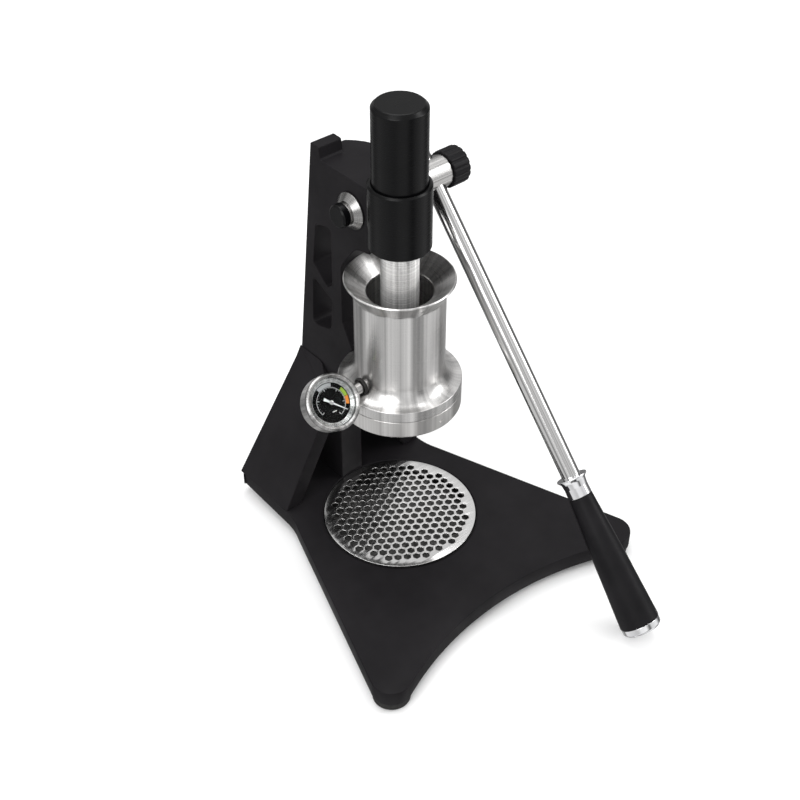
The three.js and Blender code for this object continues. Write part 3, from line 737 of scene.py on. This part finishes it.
# ---------- chamber, basket and lock ring ----------
def chamber():
    high = heights("chamber")[1]
    ring_r = 41.5
    flange = (138.9, 146.6)
    wall, bore, bore_top, rim = 30, 21.7, 215.1, 36.3
    sweep = [(wall + 10.5 * (1 - math.sin(a)), flange[1] + 9.7 * (1 - math.cos(a)), 0)
             for a in (math.pi / 2 * k / 14 for k in range(15))]
    outline = [(bore, 150.5, 0.5), (29, 146.5, 0.5), (29, flange[0], 0.3), (ring_r, flange[0], 0.3),
               (ring_r, flange[1], 0.8)]
    outline += sweep
    outline += [(wall, bore_top - 0.5, 5), (rim, high - 0.9, 0.5), (rim - 0.9, high, 0.5),
                (bore, bore_top, 2.2)]
    turned("chamber_body", outline, PRESS, "chamber", 160,
           carve=[drill(4.5, -45, -26, STEM), drill(6.5, -45, -31, STEM)])
    plate("chamber_lug", soften([(-5, 39), (5, 39), (5, 58), (-5, 58)], 1), 139.5, 146, PRESS, "chamber",
          edge=0.5, hides=())


def lock_ring():
    low, high = heights("lock_ring")
    r = spread("lock_ring") / 2
    turned("lock_ring_body", [
        (29.7, low, 0.4), (r, low, 1.1), (r, high, 0.5), (39, high, 0.3), (39, 132.6),
        (34.6, 132.6), (34.6, high), (32.2, high), (32.2, 130.9),
        (29.7, 130.9)], PRESS, "lock_ring", 160, skin="ring_steel",
        carve=[drill(1.3, 40.9, 45, INDEX)])
    b0, b1 = heights("basket")
    turned("basket_cup", [
        (0, b0), (26, b0, 1), (28.6, b0 + 2.2, 1.2), (29, b1 - 1.2, 0.3), (31.8, b1 - 1.2, 0.3),
        (31.8, b1, 0.4),
        (28.3, b1, 0.4), (27.9, b0 + 2.8, 1), (25.6, b0 + 0.8, 0.6), (0, b0 + 0.8)], PRESS, "basket", 128)


# ---------- shaft, hub, knob and lever ----------
def shaft():
    bore = 7.2
    turned("shaft_bushing_left_ring", [
        (bore, -14.6, 0.3), (8.6, -14.6, 0.4), (12.6, -10.8, 0.4), (12.6, -9.65, 0.2), (9, -9.65), (9, -4.6),
        (bore, -4.6)], SHAFT, "shaft_bushing_left", 96, skin="gauge_steel")
    turned("shaft_bushing_right_sleeve", [
        (bore, 4.6), (9, 4.6), (9, 33.3), (12, 33.3, 0.2), (12, 36, 0.5), (bore, 36, 0.3)], SHAFT,
        "shaft_bushing_right", 96, skin="shaft_steel")
    turned("pinion_shaft_bar", [(0, -18), (7, -18, 0.6), (7, 48.6, 0.4), (0, 48.6)], SHAFT, "pinion_shaft",
           96, skin="shaft_steel")
    turned("shaft_end_cap_shell", [
        (0, -21.8), (6.8, -21.8, 0.8), (7.9, -20.7, 0.8), (7.9, -16.3, 0.2), (7.3, -16.3), (7.3, -18.3),
        (0, -18.3)],
        SHAFT, "shaft_end_cap", 64)
    hub_r = spread("lever_hub", 1) / 2
    x0, x1 = (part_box("lever_hub")[i].x / MM for i in (0, 1))
    rod_r = spread("lever_rod") / 2
    turned("lever_hub_body", [(0, x0), (hub_r, x0, 1), (hub_r, x1, 0.5), (0, x1)], SHAFT, "lever_hub", 128,
           skin="shaft_steel",
           carve=[drill(rod_r + 0.2, -30, 30, ROD), drill(bore, 30, 49, SHAFT), drill(4.3, 60, 70, SHAFT)])
    k0, k1 = (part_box("clamp_knob")[i].x / MM for i in (0, 1))
    knob_r = spread("clamp_knob", 2) / 2
    flutes = 16

    def fluted(r, x, a):
        depth = 0.7 * max(0.0, math.cos(flutes * a)) ** 2
        edge = min(1.0, max(0.0, (r - knob_r + 3.5) / 2))
        return r - depth * edge

    turned("clamp_knob_body", [
        (0, k0), (knob_r, k0, 0.8), (knob_r, k1, 1.4), (knob_r - 3, k1, 0.4), (knob_r - 3.6, k1 - 0.5, 0.4),
        (0, k1 - 0.5)], SHAFT, "clamp_knob", 264, wave=fluted, carve=[drill(4.3, 60, 77, SHAFT)])
    edged("pinion_gear", 0.12)


def lever():
    rod_r = spread("lever_rod") / 2
    turned("lever_rod_bar", [(0, -300), (rod_r, -300), (rod_r, 15.6, 0.4), (rod_r - 2.4, 18, 0.6), (0, 18)],
           ROD,
           "lever_rod", 96, skin="rod_steel")
    turned("ferrule_collar", [
        (rod_r + 0.2, -233), (8.3, -233, 0.3), (8.1, -226, 3), (8.6, -222, 2), (10.6, -219.8, 0.4),
        (10.6, -219, 0.3),
        (rod_r + 0.2, -219, 0.3)], ROD, "lever_ferrule", 96)
    turned("grip_handle", [
        (0, -328), (13.8, -328, 0.5), (11.4, -281, 40), (8.2, -233.3, 0.5), (rod_r + 0.2, -233.3),
        (rod_r + 0.2, -300.3), (0, -300.3)], ROD, "lever_grip", 128)
    turned("grip_end_cap", [
        (0, -333.9), (11.6, -333.9, 1.2), (13.3, -332.2, 1.2), (13.5, -328.3, 0.3), (0, -328.3)], ROD,
        "lever_end_cap", 128)


# ---------- pressure gauge ----------
def sector(r0, r1, start, end, steps=24):
    """A band between two radii, from one angle to another, in degrees."""
    a, b = math.radians(start), math.radians(end)
    return arc(0, 0, r0, a, b, steps) + arc(0, 0, r1, b, a, steps)


def gauge():
    r, back = 19, -14
    turned("gauge_case_body", [
        (0, back), (r - 2, back, 1.4), (r - 0.6, back + 1.4, 1.2), (r - 0.6, -3.3, 0.2), (16.5, -3.3),
        (16.5, -6),
        (14.5, -6), (14.5, back + 1.6), (0, back + 1.6)], GAUGE, "gauge_case", 128)
    turned("gauge_bezel_ring", [
        (16.5, -3), (r, -3, 0.3), (r, -1.2, 1), (r - 1.5, 0, 0.8), (15.9, -0.9, 0.3), (15.9, -1.5),
        (16.5, -1.5)],
        GAUGE, "gauge_bezel", 128, skin="gauge_steel")
    turned("gauge_spacer_cone", [
        (16.2, -3.1), (16.2, -4.7), (13.1, -4.7), (13.1, -4.4, 0.1), (15.6, -3.1, 0.2)], GAUGE,
        "gauge_spacer", 96,
        skin="gauge_steel")
    turned("gauge_window", [(0, -2.8), (16.2, -2.8, 0.1), (16.2, -1.8, 0.1), (0, -1.8)], GAUGE,
           "gauge_glass", 96)
    turned("dial_disc", [(0.9, -5.8), (16.1, -5.8), (16.1, -5, 0.1), (0.9, -5)], GAUGE, "gauge_dial", 96)
    ink = -5
    zero, full, majors, minors = 210, -70, 5, 25   # degrees in the dial's frame, and steps of the scale
    marks = [
        ("dial_scale_arc", sector(9.9, 10.1, full, zero, 72), "white_mark"),
        ("dial_band_silver", sector(10.4, 12.7, 67, 118), "silver_mark"),
        ("dial_band_green", sector(10.4, 12.7, 3, 32), "green_mark"),
        ("dial_band_orange", sector(10.4, 12.7, -24, 2), "orange_mark"),
    ]
    for steps, inner, half in ((majors, 8.2, 0.9), (minors, 9.1, 0.4)):
        for k in range(steps + 1):
            a = zero - k * (zero - full) / steps
            if steps == majors or k % (minors // majors):
                marks.append(("dial_tick", sector(inner, 9.6, a - half, a + half, 2), "white_mark"))
    groups = {}
    for name, loop, ink_name in marks:
        groups.setdefault(ink_name, []).append(loop)
    groups["white_mark"].append([Vector(p) for p in ((-1.6, -6.2), (1.6, -6.2), (1.6, -5.7), (-1.6, -5.7))])
    inks = {"white_mark": (0.85, 0.85, 0.85), "silver_mark": (0.42, 0.42, 0.43),
            "green_mark": (0.30, 0.46, 0.03), "orange_mark": (0.85, 0.25, 0.02)}
    for ink_name, loops in groups.items():
        SKINS[ink_name] = print_ink(ink_name, inks[ink_name])
        bm = bmesh.new()
        for loop in loops:
            slab(bm, loop, ink + 0.02, ink + 0.07)
        finish(f"dial_{ink_name}s", bm, GAUGE, "gauge_dial", ink_name)
    pointer()
    x0, x1 = (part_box("gauge_stem")[i].x / MM for i in (0, 1))
    stem_r = spread("gauge_stem", 1) / 2
    turned("gauge_stem_tube", [(0, x0), (stem_r, x0), (stem_r, x1, 0.4), (0, x1)], STEM, "gauge_stem", 64,
           skin="shaft_steel")
    s = (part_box("stem_seal")[0].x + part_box("stem_seal")[1].x) / 2 / MM
    ring = [(5.3 + 0.8 * math.cos(a), s + 1.3 * math.sin(a), 0)
            for a in (2 * math.pi * k / 20 for k in range(20))]
    turned("stem_seal_ring", ring, STEM, "stem_seal", 64)


def slab(bm, loop, low, high):
    """A closed flat piece from a loop, added to a bmesh."""
    loop = clean(loop)
    if area(loop) < 0:
        loop = loop[::-1]
    lower = [bm.verts.new((p.x, p.y, low)) for p in loop]
    upper = [bm.verts.new((p.x, p.y, high)) for p in loop]
    for k in range(len(loop)):
        n = (k + 1) % len(loop)
        bm.faces.new((lower[k], lower[n], upper[n], upper[k]))
    for triangle in tessellate_polygon([[(p.x, p.y, 0) for p in loop]]):
        bm.faces.new([upper[k] for k in triangle])
        bm.faces.new([lower[k] for k in reversed(triangle)])


def pointer():
    turn = Matrix.Rotation(math.radians(-43), 4, "Z")
    hand = [(-5.6, 1.0), (-5.6, -1.0), (-1.2, -0.55), (1.2, -0.5), (12, -0.15), (12, 0.15), (1.2, 0.5),
            (-1.2, 0.55)]
    bm = bmesh.new()
    slab(bm, soften(hand, 0.2), -4.5, -4.2)
    finish("pointer_hand", bm, GAUGE @ turn, "gauge_pointer", hides=("gauge_pointer",))
    turned("pointer_boss", [(0, -6.3), (0.6, -6.3), (0.6, -4.55), (1.6, -4.55, 0.1), (1.6, -3.9, 0.35),
                            (0, -3.8)],
           GAUGE, "gauge_pointer", 48, skin="shaft_steel", hides=())


# ---------- CAD nodes that keep their own shape ----------
def dress_rest():
    """Every CAD node gets its slot's material; steel here is placed by the object's own coordinates."""
    for node, obj in NODES.items():
        obj.data.materials.clear()
        slot = SLOT_OF[node]
        steel = slot in ("brushed_steel", "polished_steel")
        obj.data.materials.append(SKINS["fastener_steel" if steel else slot])


# ---------- floor, light and camera ----------
# (bearing in degrees from +X, brightness) of the panels that the metal reflects
PANELS = [(-180, 0.75), (-150, 0.62), (-131, 0.95), (-108, 1.0), (-84, 0.14), (-68, 0.75), (-36, 0.95),
          (-8, 0.10), (24, 0.5), (50, 0.18), (84, 0.5), (112, 0.16), (146, 0.8), (180, 0.75)]


def card(name, place, aim, width, height, power):
    light = bpy.data.lights.new(name, "AREA")
    light.shape = "RECTANGLE"
    light.size, light.size_y, light.energy = width, height, power
    lamp = bpy.data.objects.new(name, light)
    lamp.location = place
    lamp.rotation_euler = (Vector(aim) - Vector(place)).to_track_quat("-Z", "Y").to_euler()
    bpy.context.scene.collection.objects.link(lamp)


def studio():
    bm = bmesh.new()
    bmesh.ops.create_grid(bm, x_segments=8, y_segments=8, size=6)
    mesh = bpy.data.meshes.new("floor")
    bm.to_mesh(mesh)
    bm.free()
    floor = bpy.data.objects.new("floor", mesh)
    bpy.context.scene.collection.objects.link(floor)
    paint = Paint("pale_floor", (0.9, 0.9, 0.9), 0.6)
    paint.colours(paint.noise(3), (0.3, (0.9, 0.9, 0.9)), (0.7, (0.93, 0.93, 0.93)))
    mesh.materials.append(paint.mat)
    floor.visible_glossy = False
    surround()
    aim = (0, 0, 0.15)
    card("key_left", (-1.3, -0.5, 1.3), aim, 1.0, 1.4, 16)
    card("key_right", (1.2, -0.9, 1.1), aim, 0.5, 1.2, 10)
    card("top", (0.1, 0.4, 2.0), aim, 1.6, 1.2, 20)


def surround():
    """The studio that the metal reflects: a bright ceiling, and soft light and dark panels all round."""
    world = bpy.data.worlds.new("studio")
    world.use_nodes = True
    bpy.context.scene.world = world
    tree = world.node_tree
    new = tree.nodes.new
    link = tree.links.new
    direction = new("ShaderNodeSeparateXYZ")
    link(new("ShaderNodeTexCoord").outputs["Generated"], direction.inputs["Vector"])
    bearing = new("ShaderNodeMath")
    bearing.operation = "ARCTAN2"
    link(direction.outputs["Y"], bearing.inputs[0])
    link(direction.outputs["X"], bearing.inputs[1])
    turn = new("ShaderNodeMapRange")
    turn.inputs["From Min"].default_value = -math.pi
    turn.inputs["From Max"].default_value = math.pi
    link(bearing.outputs["Value"], turn.inputs["Value"])
    panels = new("ShaderNodeValToRGB")
    panels.color_ramp.interpolation = "EASE"
    elements = panels.color_ramp.elements
    while len(elements) < len(PANELS):
        elements.new(0.5)
    for element, (bearing_deg, value) in zip(elements, PANELS):
        element.position = (bearing_deg + 180) / 360
        element.color = (value, value, value, 1)
    link(turn.outputs["Result"], panels.inputs["Fac"])
    height = new("ShaderNodeMapRange")
    height.inputs["From Min"].default_value = 0.3
    height.inputs["From Max"].default_value = 0.6
    link(direction.outputs["Z"], height.inputs["Value"])
    mix = new("ShaderNodeMix")
    mix.data_type = "RGBA"
    link(height.outputs["Result"], mix.inputs["Factor"])
    link(panels.outputs["Color"], mix.inputs["A"])
    mix.inputs["B"].default_value = (0.85, 0.85, 0.85, 1)
    background = tree.nodes["Background"]
    link(mix.outputs["Result"], background.inputs["Color"])
    background.inputs["Strength"].default_value = 1.0


def camera():
    data = bpy.data.cameras.new("camera")
    data.lens = 63
    data.sensor_width = 36
    cam = bpy.data.objects.new("camera", data)
    cam.location = (-0.4735, AXIS.y - 0.5545, 0.7307)
    cam.rotation_euler = (math.radians(50.23), 0, math.radians(-40.5))
    bpy.context.scene.collection.objects.link(cam)
    bpy.context.scene.camera = cam
    bpy.context.scene.view_settings.view_transform = "Standard"


dress_rest()
base()
grille()
drip_pan()
for frame_node, rounding in (("column", 0.6), ("wing_left", 0.7), ("wing_right", 0.7)):
    edged(frame_node, rounding)
head()
ram()
chamber()
lock_ring()
shaft()
lever()
gauge()
studio()
camera()
